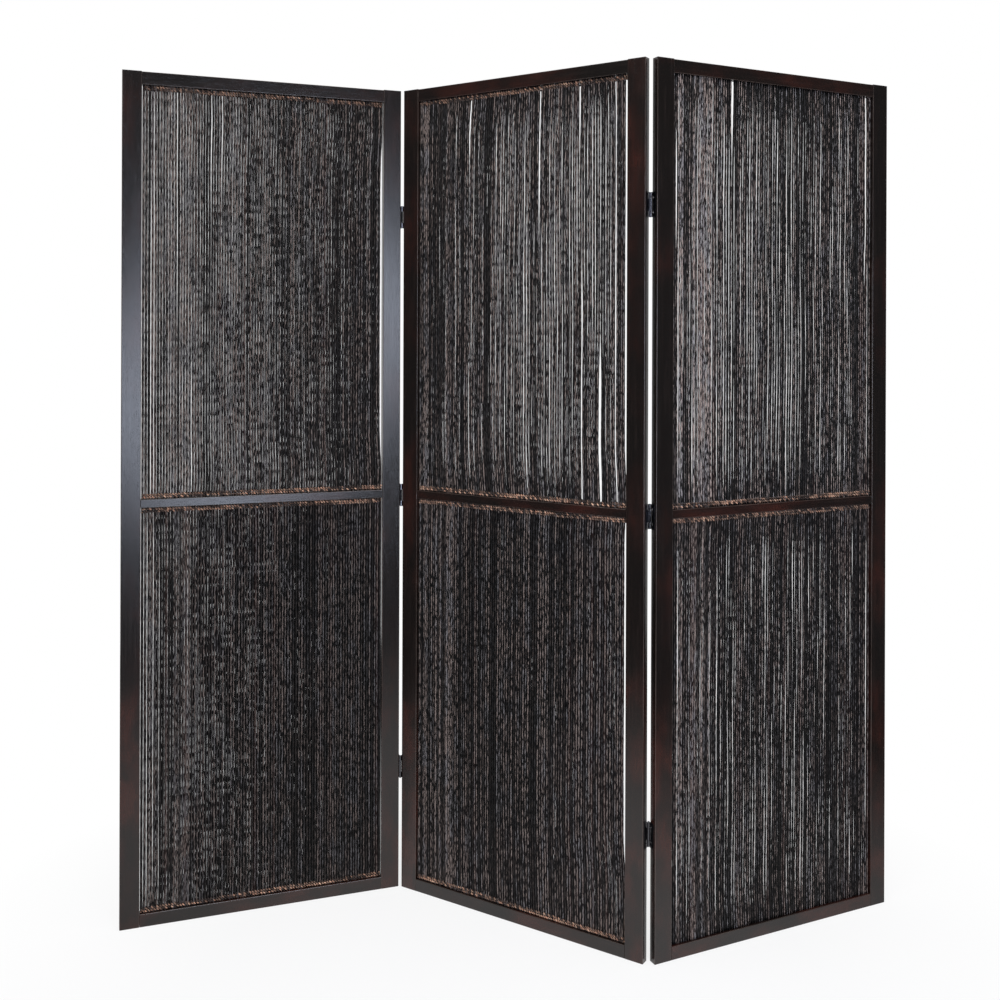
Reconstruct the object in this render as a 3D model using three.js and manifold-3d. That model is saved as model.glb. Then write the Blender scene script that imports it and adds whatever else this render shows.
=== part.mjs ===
// A three-panel folding screen: dark wooden frames filled with closely strung upright cords.
//
// Millimetres, +Z up, +X to the right of someone standing in front, +Y away from them. The origin
// is on the floor, under the middle of the box that the screen fills as it stands in its zigzag.
//
// Each panel is drawn in a frame of its own: X along the panel from its left edge, Y from its front
// face to its back face, and Z up from the floor. The side panels turn about the hinge pins.

import * as THREE from 'three';
import { mergeVertices } from 'three/addons/utils/BufferGeometryUtils.js';
import Module from 'manifold-3d';

const wasm = await Module();
wasm.setup();

// ---- Frames of the panels ----
const panelWidth = 600;
const panelHeight = 1800;
const panelThickness = 18;
const stileWidth = 40;
const topRailHeight = 27;
const topRailSetDown = 1; // of the top rails below the ends of the stiles
const middleRailHeight = 18;
const bottomRailHeight = 27;
const middleRailCentre = 890;
const arrisRadius = 1.2; // rounding of the long edges of stiles and rails
const endChamfer = 0.6; // on the ends of the stiles
const arrisSteps = 3;

// ---- Joints of the frames ----
const tenonLength = 15;
const tenonThickness = 6;
const tenonShoulder = 4; // wood left above and below a tenon
const grooveDepth = 5; // in the rails, for the glued ends of the cords
const fitGap = 0.3; // between pieces that touch

// ---- Cords and the twining that holds them ----
const cordDiameter = 5;
const cordBars = 45; // upright bars in a field, a see-through gap between each two
const cordGap = 2;
const fieldSideGap = 3; // from a stile to the first cord
const twiningRows = 2;
const twiningRowHeight = 6;
const twiningThickness = 2; // in front of the cords and behind them
const twiningBulge = 1.2; // of a row's round face over the hollow between two rows
const twiningSteps = 6;

// The ends of each opening where a band of twining shows beside the rail. In the right panel the
// cords run bare into the top and the bottom rail.
const allBands = { upper: ['top', 'bottom'], lower: ['top', 'bottom'] };
const middleRailBands = { upper: ['bottom'], lower: ['top'] };

// ---- Butt hinges ----
const hingeHeight = 50;
const middleKnuckleHeight = 25;
const knucklePlay = 0.4; // between two knuckles, along the pin
const knuckleWall = 1.05;
const knuckleSides = 12;
const pinRadius = 1.1;
const pinPlay = 0.25; // round the pin, in the knuckles
const pinChamfer = 0.3;
const leafThickness = 1.2;
const leafDepth = 13; // how far a leaf reaches over the edge of a stile
const leafSetback = 0.5; // of a leaf's plate from the face of the stile
const leafToLeafGap = 1; // between the leaves when the panels stand in line
const barrelStandOff = 0.6; // of the knuckles from the face of the stile
const screwHoleRadius = 1.8;
const screwHeadRadius = 3;
const screwSpacing = 30;
const screwSides = 8;
const leftFoldHinges = { bottom: 272, middle: 886, top: panelHeight - 286 };
const rightFoldHinges = { bottom: 252, middle: 886, top: panelHeight - 292 };

// ---- How the screen stands (degrees) ----
const middlePanelTurn = -32.5; // the middle panel's right edge comes nearer
const leftFold = 52; // from in line with the middle panel, towards the front
const rightFold = 58; // from in line with the middle panel, towards the back

// ---- Sizes that follow from those above ----
const midThickness = panelThickness / 2;
const openingLeft = stileWidth;
const openingRight = panelWidth - stileWidth;
const fieldLeft = openingLeft + fieldSideGap;
const fieldRight = openingRight - fieldSideGap;
const grooveHalf = cordDiameter / 2 + fitGap;
const twiningHeight = twiningRows * twiningRowHeight;
const twiningHalfDepth = grooveHalf + twiningThickness;
const knuckleRadius = pinRadius + pinPlay + knuckleWall;
const pinOut = fitGap + leafThickness + leafToLeafGap / 2; // from the edge of the stile
const pinProud = knuckleRadius + barrelStandOff; // from the face of the stile

const rails = {
  top: {
    low: panelHeight - topRailSetDown - topRailHeight,
    high: panelHeight - topRailSetDown,
  },
  middle: {
    low: middleRailCentre - middleRailHeight / 2,
    high: middleRailCentre + middleRailHeight / 2,
  },
  bottom: { low: 0, high: bottomRailHeight },
};
const openings = {
  upper: { low: rails.middle.high, high: rails.top.low },
  lower: { low: rails.bottom.high, high: rails.middle.low },
};

// ---- Finishes ----
const stainedWood = new THREE.MeshStandardMaterial({ color: 0x2a1b18, roughness: 0.38, metalness: 0 });
const darkCord = new THREE.MeshStandardMaterial({ color: 0x2f2926, roughness: 0.7, metalness: 0 });
const brownTwining = new THREE.MeshStandardMaterial({ color: 0x5b3626, roughness: 0.6, metalness: 0 });
const blackSteel = new THREE.MeshStandardMaterial({ color: 0x18171a, roughness: 0.4, metalness: 0.7 });

// ---- Solids ----

// A closed three.js geometry as a solid that can be cut and joined.
function solidOf(geometry) {
  const bare = geometry.clone();
  bare.deleteAttribute('normal');
  bare.deleteAttribute('uv');
  const merged = mergeVertices(bare, 1e-4);
  const vertProperties = new Float32Array(merged.attributes.position.array);
  const triVerts = new Uint32Array(merged.index.array);
  return new wasm.Manifold(new wasm.Mesh({ numProp: 3, vertProperties, triVerts }));
}

// A solid as a three.js geometry again.
function geometryOf(solid) {
  const { vertProperties, triVerts } = solid.getMesh();
  const geometry = new THREE.BufferGeometry();
  geometry.setAttribute('position', new THREE.BufferAttribute(new Float32Array(vertProperties), 3));
  geometry.setIndex(new THREE.BufferAttribute(new Uint32Array(triVerts), 1));
  geometry.computeVertexNormals();
  return geometry;
}

// A box between two opposite corners, given in either order along each axis.
function block(x, y, z) {
  const geometry = new THREE.BoxGeometry(
    Math.abs(x[1] - x[0]),
    Math.abs(y[1] - y[0]),
    Math.abs(z[1] - z[0]),
  );
  geometry.translate((x[0] + x[1]) / 2, (y[0] + y[1]) / 2, (z[0] + z[1]) / 2);
  return solidOf(geometry);
}

// An upright round bar.
function uprightBar(radius, x, y, z) {
  const geometry = new THREE.CylinderGeometry(radius, radius, z[1] - z[0], knuckleSides);
  geometry.rotateX(Math.PI / 2);
  geometry.translate(x, y, (z[0] + z[1]) / 2);
  return solidOf(geometry);
}

// A rectangle with rounded corners, from corner (x0, y0) to corner (x1, y1).
function roundedRectangle(x0, y0, x1, y1, radius) {
  const shape = new THREE.Shape();
  shape.moveTo(x0 + radius, y0);
  shape.lineTo(x1 - radius, y0);
  shape.absarc(x1 - radius, y0 + radius, radius, -Math.PI / 2, 0);
  shape.lineTo(x1, y1 - radius);
  shape.absarc(x1 - radius, y1 - radius, radius, 0, Math.PI / 2);
  shape.lineTo(x0 + radius, y1);
  shape.absarc(x0 + radius, y1 - radius, radius, Math.PI / 2, Math.PI);
  shape.lineTo(x0, y0 + radius);
  shape.absarc(x0 + radius, y0 + radius, radius, Math.PI, 1.5 * Math.PI);
  return shape;
}

// A profile drawn in (Y, Z) and drawn out along X.
function drawnAlongX(profile, x, curveSegments) {
  const geometry = new THREE.ExtrudeGeometry(profile, {
    depth: x[1] - x[0],
    bevelEnabled: false,
    curveSegments,
  });
  const alongX = new THREE.Matrix4().makeBasis(
    new THREE.Vector3(0, 1, 0),
    new THREE.Vector3(0, 0, 1),
    new THREE.Vector3(1, 0, 0),
  );
  geometry.applyMatrix4(alongX);
  geometry.translate(x[0], 0, 0);
  return geometry;
}

// ---- Wooden frame ----

// The space of a rail's tenon, which passes through the rail and out at both ends. With a
// clearance it is the space of the two mortises.
function tenonSpace(railSpan, clearance) {
  const reach = tenonLength - fitGap + clearance;
  return block(
    [openingLeft - reach, openingRight + reach],
    [midThickness - tenonThickness / 2 - clearance, midThickness + tenonThickness / 2 + clearance],
    [railSpan.low + tenonShoulder - clearance, railSpan.high - tenonShoulder + clearance],
  );
}

// The groove that an opening's cords are glued into, reaching into the rails above and below it.
function grooveSpace(opening) {
  return block(
    [fieldLeft - fitGap, fieldRight + fitGap],
    [midThickness - grooveHalf, midThickness + grooveHalf],
    [opening.low - grooveDepth, opening.high + grooveDepth],
  );
}

function railGeometry(railSpan) {
  const profile = roundedRectangle(0, railSpan.low, panelThickness, railSpan.high, arrisRadius);
  const ends = [openingLeft + fitGap, openingRight - fitGap];
  let rail = solidOf(drawnAlongX(profile, ends, arrisSteps)).add(tenonSpace(railSpan, 0));
  for (const opening of Object.values(openings)) {
    rail = rail.subtract(grooveSpace(opening));
  }
  return geometryOf(rail);
}

function stileGeometry(left) {
  const profile = roundedRectangle(left, 0, left + stileWidth, panelThickness, arrisRadius);
  const geometry = new THREE.ExtrudeGeometry(profile, {
    depth: panelHeight - 2 * endChamfer,
    bevelThickness: endChamfer,
    bevelSize: endChamfer,
    bevelOffset: -endChamfer,
    bevelSegments: 1,
    curveSegments: arrisSteps,
  });
  geometry.translate(0, 0, endChamfer);
  let stile = solidOf(geometry);
  for (const railSpan of Object.values(rails)) {
    stile = stile.subtract(tenonSpace(railSpan, fitGap));
  }
  return geometryOf(stile);
}

// ---- Cords and twining ----

// One field of cords: upright bars with see-through gaps, solid where bands of twining and the
// grooves hold the cords side by side.
function cordFieldGeometry(opening, bands) {
  const thickness = [midThickness - cordDiameter / 2, midThickness + cordDiameter / 2];
  const ends = [opening.low - grooveDepth + fitGap, opening.high + grooveDepth - fitGap];
  let field = block([fieldLeft, fieldRight], thickness, ends);

  const gaps = cordBars - 1;
  const barWidth = (fieldRight - fieldLeft - gaps * cordGap) / cordBars;
  const gapDepth = [thickness[0] - fitGap, thickness[1] + fitGap];
  const bandSpace = (end) => (bands.includes(end) ? fitGap + twiningHeight : 0);
  const gapSpan = [opening.low + bandSpace('bottom'), opening.high - bandSpace('top')];
  for (let i = 0; i < gaps; i += 1) {
    const left = fieldLeft + barWidth + i * (barWidth + cordGap);
    field = field.subtract(block([left, left + cordGap], gapDepth, gapSpan));
  }
  return geometryOf(field);
}

// A band of twining: round-faced rows one above the other, in front of the cords and behind them,
// closed round the field at its two ends.
function twiningGeometry(low) {
  const profile = new THREE.Shape();
  const rowFace = (row, side, step) => {
    const turn = Math.PI * (step / twiningSteps - 0.5);
    const bulge = twiningBulge * (Math.cos(turn) - 1);
    const y = midThickness + side * (twiningHalfDepth + bulge);
    const z = low + twiningRowHeight * (row + 0.5 + Math.sin(turn) / 2);
    return new THREE.Vector2(y, z);
  };
  const points = [];
  for (let row = 0; row < twiningRows; row += 1) {
    for (let step = row ? 1 : 0; step <= twiningSteps; step += 1) {
      points.push(rowFace(row, 1, step));
    }
  }
  for (let row = twiningRows - 1; row >= 0; row -= 1) {
    for (let step = twiningSteps; step >= (row ? 1 : 0); step -= 1) {
      points.push(rowFace(row, -1, step));
    }
  }
  profile.setFromPoints(points);
  const band = solidOf(drawnAlongX(profile, [openingLeft + fitGap, openingRight - fitGap], 1));
  const cordSlot = block(
    [fieldLeft - fitGap, fieldRight + fitGap],
    [midThickness - grooveHalf, midThickness + grooveHalf],
    [low - fitGap, low + twiningHeight + fitGap],
  );
  return geometryOf(band.subtract(cordSlot));
}

// ---- Hinges ----

// The heights of a hinge's knuckles, counted from the middle of the hinge.
const middleKnuckle = [-middleKnuckleHeight / 2, middleKnuckleHeight / 2];
const outerKnuckles = [
  [-hingeHeight / 2, middleKnuckle[0] - knucklePlay],
  [middleKnuckle[1] + knucklePlay, hingeHeight / 2],
];

// The edges of a panel that carry hinges. out points from the edge to the neighbouring panel, and
// inward from the hinged face into the thickness of the panel.
const hingeEdges = {
  leftFront: { x: 0, y: 0, out: -1, inward: 1 },
  rightFront: { x: panelWidth, y: 0, out: 1, inward: 1 },
  leftBack: { x: 0, y: panelThickness, out: -1, inward: -1 },
  rightBack: { x: panelWidth, y: panelThickness, out: 1, inward: -1 },
};

// The axis of the hinge pins beside an edge, in that panel's own frame.
function pinPlace(edge) {
  return { x: edge.x + edge.out * pinOut, y: edge.y - edge.inward * pinProud };
}

// A countersunk screw hole through a leaf.
function screwHole(edge, z) {
  const slope = (screwHeadRadius - screwHoleRadius) / leafThickness;
  const overrun = fitGap / 2;
  const cone = new THREE.CylinderGeometry(
    screwHeadRadius + slope * overrun,
    screwHoleRadius - slope * overrun,
    leafThickness + 2 * overrun,
    screwSides,
  );
  cone.rotateZ((-edge.out * Math.PI) / 2);
  cone.translate(
    edge.x + edge.out * (fitGap + leafThickness / 2),
    edge.y + (edge.inward * (leafSetback + leafDepth)) / 2,
    z,
  );
  return solidOf(cone);
}

function leafGeometry(edge, height, knuckles) {
  const plateX = [edge.x + edge.out * fitGap, edge.x + edge.out * (fitGap + leafThickness)];
  const plateY = [edge.y + edge.inward * leafSetback, edge.y + edge.inward * leafDepth];
  const pin = pinPlace(edge);
  let leaf = block(plateX, plateY, [height - hingeHeight / 2, height + hingeHeight / 2]);
  for (const knuckle of knuckles) {
    const span = [height + knuckle[0], height + knuckle[1]];
    const bore = [span[0] - fitGap, span[1] + fitGap];
    leaf = leaf.add(block(plateX, [pin.y, plateY[1]], span));
    leaf = leaf.add(uprightBar(knuckleRadius, pin.x, pin.y, span));
    leaf = leaf.subtract(uprightBar(pinRadius + pinPlay, pin.x, pin.y, bore));
  }
  for (const side of [-1, 1]) {
    leaf = leaf.subtract(screwHole(edge, height + (side * screwSpacing) / 2));
  }
  return geometryOf(leaf);
}

function pinGeometry(edge, height) {
  const half = hingeHeight / 2;
  const profile = [
    new THREE.Vector2(0, -half),
    new THREE.Vector2(pinRadius - pinChamfer, -half),
    new THREE.Vector2(pinRadius, -half + pinChamfer),
    new THREE.Vector2(pinRadius, half - pinChamfer),
    new THREE.Vector2(pinRadius - pinChamfer, half),
    new THREE.Vector2(0, half),
  ];
  const geometry = new THREE.LatheGeometry(profile, knuckleSides);
  const pin = pinPlace(edge);
  geometry.rotateX(Math.PI / 2);
  geometry.translate(pin.x, pin.y, height);
  return geometryOf(solidOf(geometry));
}

// ---- Assembly ----

function addMesh(group, name, geometry, material) {
  const mesh = new THREE.Mesh(geometry, material.clone());
  mesh.name = name;
  group.add(mesh);
}

// The wooden frame of a panel with its cords and their twining.
function buildPanel(panelName, bands) {
  const panel = new THREE.Group();
  addMesh(panel, `${panelName}_left_stile`, stileGeometry(0), stainedWood);
  addMesh(panel, `${panelName}_right_stile`, stileGeometry(openingRight), stainedWood);
  for (const [railName, railSpan] of Object.entries(rails)) {
    addMesh(panel, `${panelName}_${railName}_rail`, railGeometry(railSpan), stainedWood);
  }
  for (const [openingName, opening] of Object.entries(openings)) {
    const cords = `${panelName}_${openingName}_cords`;
    addMesh(panel, cords, cordFieldGeometry(opening, bands[openingName]), darkCord);
    const bandLows = {
      top: opening.high - fitGap - twiningHeight,
      bottom: opening.low + fitGap,
    };
    for (const bandName of bands[openingName]) {
      const band = twiningGeometry(bandLows[bandName]);
      addMesh(panel, `${cords}_${bandName}_twining`, band, brownTwining);
    }
  }
  return panel;
}

// One leaf of every hinge in a fold, on the panel whose edge carries it.
function addLeaves(panel, foldName, leafName, hinges, edge, knuckles) {
  for (const [place, height] of Object.entries(hinges)) {
    const name = `${foldName}_${place}_hinge_${leafName}_leaf`;
    addMesh(panel, name, leafGeometry(edge, height, knuckles), blackSteel);
  }
}

function addPins(panel, foldName, hinges, edge) {
  for (const [place, height] of Object.entries(hinges)) {
    addMesh(panel, `${foldName}_${place}_hinge_pin`, pinGeometry(edge, height), blackSteel);
  }
}

// A side panel hung on the middle panel's pins: its own pin axis meets the middle panel's, and it
// is turned about that axis by the fold.
function hangPanel(middle, middleEdge, panel, panelEdge, foldDegrees) {
  const fold = new THREE.Group();
  const pin = pinPlace(middleEdge);
  const ownPin = pinPlace(panelEdge);
  fold.position.set(pin.x, pin.y, 0);
  fold.rotation.z = THREE.MathUtils.degToRad(foldDegrees);
  panel.position.set(-ownPin.x, -ownPin.y, 0);
  fold.add(panel);
  middle.add(fold);
}

const leftPanel = buildPanel('left_panel', allBands);
const middlePanel = buildPanel('middle_panel', allBands);
const rightPanel = buildPanel('right_panel', middleRailBands);

addLeaves(leftPanel, 'left_fold', 'left', leftFoldHinges, hingeEdges.rightFront, [middleKnuckle]);
addLeaves(middlePanel, 'left_fold', 'middle', leftFoldHinges, hingeEdges.leftFront, outerKnuckles);
addPins(middlePanel, 'left_fold', leftFoldHinges, hingeEdges.leftFront);
addLeaves(middlePanel, 'right_fold', 'middle', rightFoldHinges, hingeEdges.rightBack, outerKnuckles);
addPins(middlePanel, 'right_fold', rightFoldHinges, hingeEdges.rightBack);
addLeaves(rightPanel, 'right_fold', 'right', rightFoldHinges, hingeEdges.leftBack, [middleKnuckle]);

hangPanel(middlePanel, hingeEdges.leftFront, leftPanel, hingeEdges.rightFront, leftFold);
hangPanel(middlePanel, hingeEdges.rightBack, rightPanel, hingeEdges.leftBack, rightFold);
middlePanel.rotation.z = THREE.MathUtils.degToRad(middlePanelTurn);

// The screen, moved so that the origin is at the middle of its box, on the floor.
const screen = new THREE.Group();
screen.name = 'folding_screen';
screen.add(middlePanel);
screen.updateMatrixWorld(true);
const screenBox = new THREE.Box3().setFromObject(screen, true);
const screenCentre = screenBox.getCenter(new THREE.Vector3());
screen.position.set(-screenCentre.x, -screenCentre.y, -screenBox.min.z);
screen.updateMatrixWorld(true);

export default screen;
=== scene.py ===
"""A three-panel folding screen: stained frames strung with cords, twining, hinges and screws."""

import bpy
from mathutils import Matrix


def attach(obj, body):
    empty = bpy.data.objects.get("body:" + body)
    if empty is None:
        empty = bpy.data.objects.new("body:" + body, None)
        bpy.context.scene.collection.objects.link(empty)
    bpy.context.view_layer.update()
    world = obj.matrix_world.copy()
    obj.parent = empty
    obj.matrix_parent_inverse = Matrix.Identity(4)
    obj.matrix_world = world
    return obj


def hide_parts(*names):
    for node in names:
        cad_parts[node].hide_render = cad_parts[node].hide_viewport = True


bl_info = {
    "name": "Corded Folding Screen",
    "version": (1, 0, 0),
    "blender": (4, 5, 0),
    "location": "3D View > Sidebar > Folding Screen",
    "description": "Strings, twines and stains a three-panel folding screen round its fixed frame",
    "category": "Object",
}

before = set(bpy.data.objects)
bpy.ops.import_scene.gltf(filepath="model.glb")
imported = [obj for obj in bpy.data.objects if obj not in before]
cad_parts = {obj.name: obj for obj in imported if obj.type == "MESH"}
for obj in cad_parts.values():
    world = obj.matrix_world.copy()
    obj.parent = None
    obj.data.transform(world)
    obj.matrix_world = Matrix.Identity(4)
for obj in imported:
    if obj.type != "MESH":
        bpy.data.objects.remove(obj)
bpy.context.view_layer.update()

import math

import bpy
import numpy as np
from bpy.props import FloatProperty, FloatVectorProperty, IntProperty, PointerProperty
from mathutils import Matrix, Vector

# How each panel is turned about the upright, in degrees.
PANEL_TURNS = {"left_panel": 19.5, "middle_panel": -32.5, "right_panel": 25.5}

# The fields of cords.
# seed: of the random draws.
# fill: the share of the width that is cord.
# open: the share of the gaps that stand open.
# lean: how much more of the open gaps lie on the right.
# spread: how unlike the gaps are.
# crest: how bright the painted highlight on the cords' crests is, set field by field as lit and
# shaded copies of one cord.
# fluff: how much thicker the cords look than the room they take, where the settings don't hold.
# wide: wider gaps, each with its place across the panel, its lowest and its highest point, and its
# width, in metres.
FIELDS = {
    "left_panel_upper_cords": {
        "seed": 11,
        "fill": 0.982,
        "open": 0.35,
        "lean": -0.8,
        "spread": 0.8,
        "crest": 1.0,
        "wide": (
            (0.056, 0.75, 1.60, 0.0010),
            (0.062, 0.75, 1.80, 0.0007),
            (0.109, 1.25, 1.95, 0.0008),
            (0.183, 1.48, 1.95, 0.0012),
            (0.205, 1.52, 1.95, 0.0010),
            (0.141, 0.84, 1.25, 0.0010),
            (0.560, 0.93, 1.72, 0.0062),
        ),
    },
    "left_panel_lower_cords": {
        "seed": 12,
        "fill": 0.992,
        "open": 0.1,
        "lean": -1.5,
        "spread": 0.8,
        "crest": 0.78,
        "fluff": 1.09,
        "wide": (
            (0.046, -0.05, 0.95, 0.0012),
            (0.052, -0.05, 0.95, 0.0014),
            (0.064, 0.05, 0.95, 0.0013),
            (0.076, -0.05, 0.80, 0.0009),
            (0.560, 0.05, 0.88, 0.0020),
        ),
    },
    "middle_panel_upper_cords": {
        "seed": 13,
        "fill": 0.8,
        "open": 0.8,
        "lean": 1.2,
        "spread": 0.45,
        "crest": 1.2,
        "wide": (
            (0.182, 1.60, 1.95, 0.0034),
            (0.357, 1.42, 1.95, 0.0028),
            (0.455, 1.60, 1.95, 0.0032),
            (0.457, 0.75, 1.42, 0.0026),
            (0.501, 0.82, 1.26, 0.0054),
            (0.538, 0.75, 1.95, 0.0022),
            (0.560, 0.90, 1.95, 0.0068),
        ),
    },
    "middle_panel_lower_cords": {
        "seed": 14,
        "fill": 0.93,
        "open": 0.5,
        "lean": 0.5,
        "spread": 0.5,
        "crest": 1.05,
        "wide": ((0.560, 0.12, 0.95, 0.0068),),
    },
    "right_panel_upper_cords": {
        "seed": 15,
        "fill": 0.744,
        "open": 0.9,
        "lean": -0.2,
        "spread": 0.45,
        "crest": 1.95,
        "wide": (
            (0.190, 1.60, 1.95, 0.0052),
            (0.546, 1.30, 1.95, 0.0040),
            (0.552, 0.90, 1.50, 0.0038),
            (0.053, 1.38, 1.70, 0.0030),
        ),
    },
    "right_panel_lower_cords": {
        "seed": 16,
        "fill": 0.782,
        "open": 0.85,
        "lean": 0.3,
        "spread": 0.35,
        "crest": 1.45,
        "wide": ((0.552, 0.10, 0.90, 0.0034),),
    },
}

# A lamp's place, target, size, power, colour, and tilt about its line of sight in degrees.
LAMPS = {
    "right_softbox": ((0.9, -2.75, 1.15), (-0.4, 0, 1.1), (1.7, 1.15), 52, (0.76, 0.83, 1.0), 45),
    "overhead_softbox": ((0, -0.6, 4.2), (0, 0, 0), (4.2, 3.4), 130, (1, 1, 1), 0),
    "front_softbox": ((-1.7, -3.8, 3.9), (0, 0, 0.9), (3.0, 1.6), 80, (1, 0.97, 0.94), 0),
}

WHITE = (1, 1, 1, 1)

CORD_SIDES = 6  # of a cord's cross section
CORD_SPACING = 4  # of the cords before they are strung, in their own radii
FULL_SWELL_ROOM = 0.2  # share of the width without cord at which the ends swell in full
EDGE_GAPS = 3  # gaps next to a stile that stay narrow
EDGE_OPENNESS = 0.4  # how far those gaps open, against the others
WIDE_GAP_TAPER = 0.13  # length over which a wide gap opens
LEAST_SLACK = 0.004  # width that is always left for the gaps that aren't wide

TWINE_INSET = 0.0020  # from the end of a band to its first stitch
SECOND_ROW_TONE = 0.6  # of the row away from the rail
# Painted shade: the bands under the top rails are darkened as the rail above shades them.
TOP_BAND_PAINTED_SHADE = 0.65  # of the bands under the top rails

SCREW_OUT = 0.0015  # from the edge of a stile to the outer face of a hinge leaf
SCREW_DEEP = 0.00675  # from the face of a stile to the line of the screws
SCREW_UP = 0.015  # from the middle of a hinge to a screw
SCREW_HEAD_DEPTH = 0.0011  # of the countersunk head
SCREW_SHANK_LENGTH = 0.0100  # from the head to the tip
SCREW_TIP_LENGTH = 0.0025  # over which the tip narrows
SCREW_SLOT = (0.0006, 0.0012)  # width of the cross, and twice its depth


# ---- Settings ----


class StageSettings(bpy.types.PropertyGroup):
    """The camera, the lamps and the floor."""

    camera_place: FloatVectorProperty(
        name="Camera Place",
        description="Where the camera stands",
        default=(-0.0275, -2.4397, 1.2356),
        subtype="TRANSLATION",
        unit="LENGTH",
    )
    camera_lens: FloatProperty(
        name="Lens",
        description="Focal length on a 36 mm sensor",
        default=41.25,
        unit="CAMERA",
    )
    camera_shift: FloatProperty(
        name="Shift",
        description="How far the picture is shifted down, so that the uprights stay upright",
        default=-0.1593,
    )
    camera_roll: FloatProperty(
        name="Roll",
        description="Turn of the camera about its line of sight",
        default=-0.0034,
        subtype="ANGLE",
        unit="ROTATION",
    )
    floor_size: FloatProperty(
        name="Floor Size",
        description="Side of the pale floor sheet",
        default=4.4,
        unit="LENGTH",
    )
    floor_colour: FloatVectorProperty(
        name="Floor Colour",
        description="Colour of the floor sheet",
        default=(0.93, 0.93, 0.93),
        subtype="COLOR",
    )


class CordSettings(bpy.types.PropertyGroup):
    """The cords and the twining that holds them."""

    cords: IntProperty(
        name="Cords",
        description="Cords side by side in one field",
        default=88,
        min=2,
    )
    rings: IntProperty(
        name="Rings",
        description="Rings of points along one cord",
        default=162,
        min=12,
    )
    lay: FloatProperty(
        name="Lay",
        description="Length in which the two plies wind once round the cord",
        default=0.029,
        unit="LENGTH",
    )
    ply_depth: FloatProperty(
        name="Ply Depth",
        description="How far the plies stand out of the cord, as a share of its radius",
        default=0.08,
        min=0,
        max=0.4,
    )
    fluff: FloatProperty(
        name="Fluff",
        description="How much thicker the cords look than the room they take up, as a share",
        default=1.04,
        min=1,
    )
    side_gap: FloatProperty(
        name="Side Gap",
        description="Room between the outermost cords and the stiles",
        default=0.0008,
        unit="LENGTH",
    )
    end_swell: FloatProperty(
        name="End Swell",
        description="How much thicker the cords are at their ends, as a share",
        default=0.15,
        min=0,
    )
    end_length: FloatProperty(
        name="End Length",
        description="Length over which the cords thin down from their ends",
        default=0.06,
        unit="LENGTH",
    )
    twine_radius: FloatProperty(
        name="Twine Radius",
        description="Half the thickness of a strand of twine",
        default=0.0015,
        unit="LENGTH",
    )
    twine_rise: FloatProperty(
        name="Twine Rise",
        description="How far a stitch of twine climbs above and below its row",
        default=0.0019,
        unit="LENGTH",
    )
    twine_row: FloatProperty(
        name="Twine Row",
        description="Distance between the two rows of a band",
        default=0.0048,
        unit="LENGTH",
    )
    twine_steps: IntProperty(
        name="Twine Steps",
        description="Steps of a strand of twine from one cord to the next",
        default=6,
        min=3,
    )
    # The cords' own dark colour, which is also the painted shade in their grooves and at their
    # sides.
    cord_dark: FloatVectorProperty(
        name="Cord Dark",
        description="Colour of the cords in their grooves",
        default=(0.0038, 0.0034, 0.0033),
        subtype="COLOR",
    )
    # The colour that the painted highlight and the worn spots lighten the crests to.
    cord_light: FloatVectorProperty(
        name="Cord Light",
        description="Colour of the cords on their crests",
        default=(0.165, 0.130, 0.115),
        subtype="COLOR",
    )
    cord_cool: FloatVectorProperty(
        name="Cord Cool",
        description="Colour of the greyer fibres on the crests",
        default=(0.115, 0.120, 0.130),
        subtype="COLOR",
    )
    cord_red: FloatVectorProperty(
        name="Cord Red",
        description="Colour that tints a few of the cords",
        default=(0.034, 0.014, 0.011),
        subtype="COLOR",
    )
    # The twine's own dark colour, which is also the painted shade where a stitch dips in.
    twine_dark: FloatVectorProperty(
        name="Twine Dark",
        description="Colour of the twine in its grooves",
        default=(0.0095, 0.0036, 0.0026),
        subtype="COLOR",
    )
    # The colour of the painted highlight where a stitch stands out.
    twine_light: FloatVectorProperty(
        name="Twine Light",
        description="Colour of the twine on its crests",
        default=(1.0, 0.62, 0.42),
        subtype="COLOR",
    )
    twine_rust: FloatVectorProperty(
        name="Twine Rust",
        description="Colour of the redder patches of the twine",
        default=(0.34, 0.085, 0.035),
        subtype="COLOR",
    )


class WoodSettings(bpy.types.PropertyGroup):
    """The stain and lacquer of the frames."""

    stain: FloatVectorProperty(
        name="Stain",
        description="Colour of most of the wood",
        default=(0.0062, 0.0042, 0.0034),
        subtype="COLOR",
    )
    red_stain: FloatVectorProperty(
        name="Red Stain",
        description="Colour where the stain is thinner",
        default=(0.034, 0.0092, 0.0060),
        subtype="COLOR",
    )
    streak: FloatVectorProperty(
        name="Streak",
        description="Colour of the lighter streaks of the grain",
        default=(0.040, 0.026, 0.022),
        subtype="COLOR",
    )
    pore: FloatVectorProperty(
        name="Pore",
        description="Colour of the pores",
        default=(0.004, 0.003, 0.003),
        subtype="COLOR",
    )
    # Painted highlight: the lighter colour laid along the arrises in place of the lacquer's gleam
    # on the rounded edges.
    arris_highlight_colour: FloatVectorProperty(
        name="Bare",
        description="Colour where the stain is rubbed off",
        default=(0.16, 0.12, 0.10),
        subtype="COLOR",
    )
    # How strong the painted highlight along the arrises is.
    arris_highlight_share: FloatProperty(
        name="Rubbed",
        description="How much the stain is rubbed off the arrises",
        default=0.45,
        subtype="FACTOR",
    )
    gloss_spread: FloatProperty(
        name="Gloss Spread",
        description="Roughness of the satin lacquer",
        default=0.22,
        min=0,
        max=1,
    )


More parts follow.
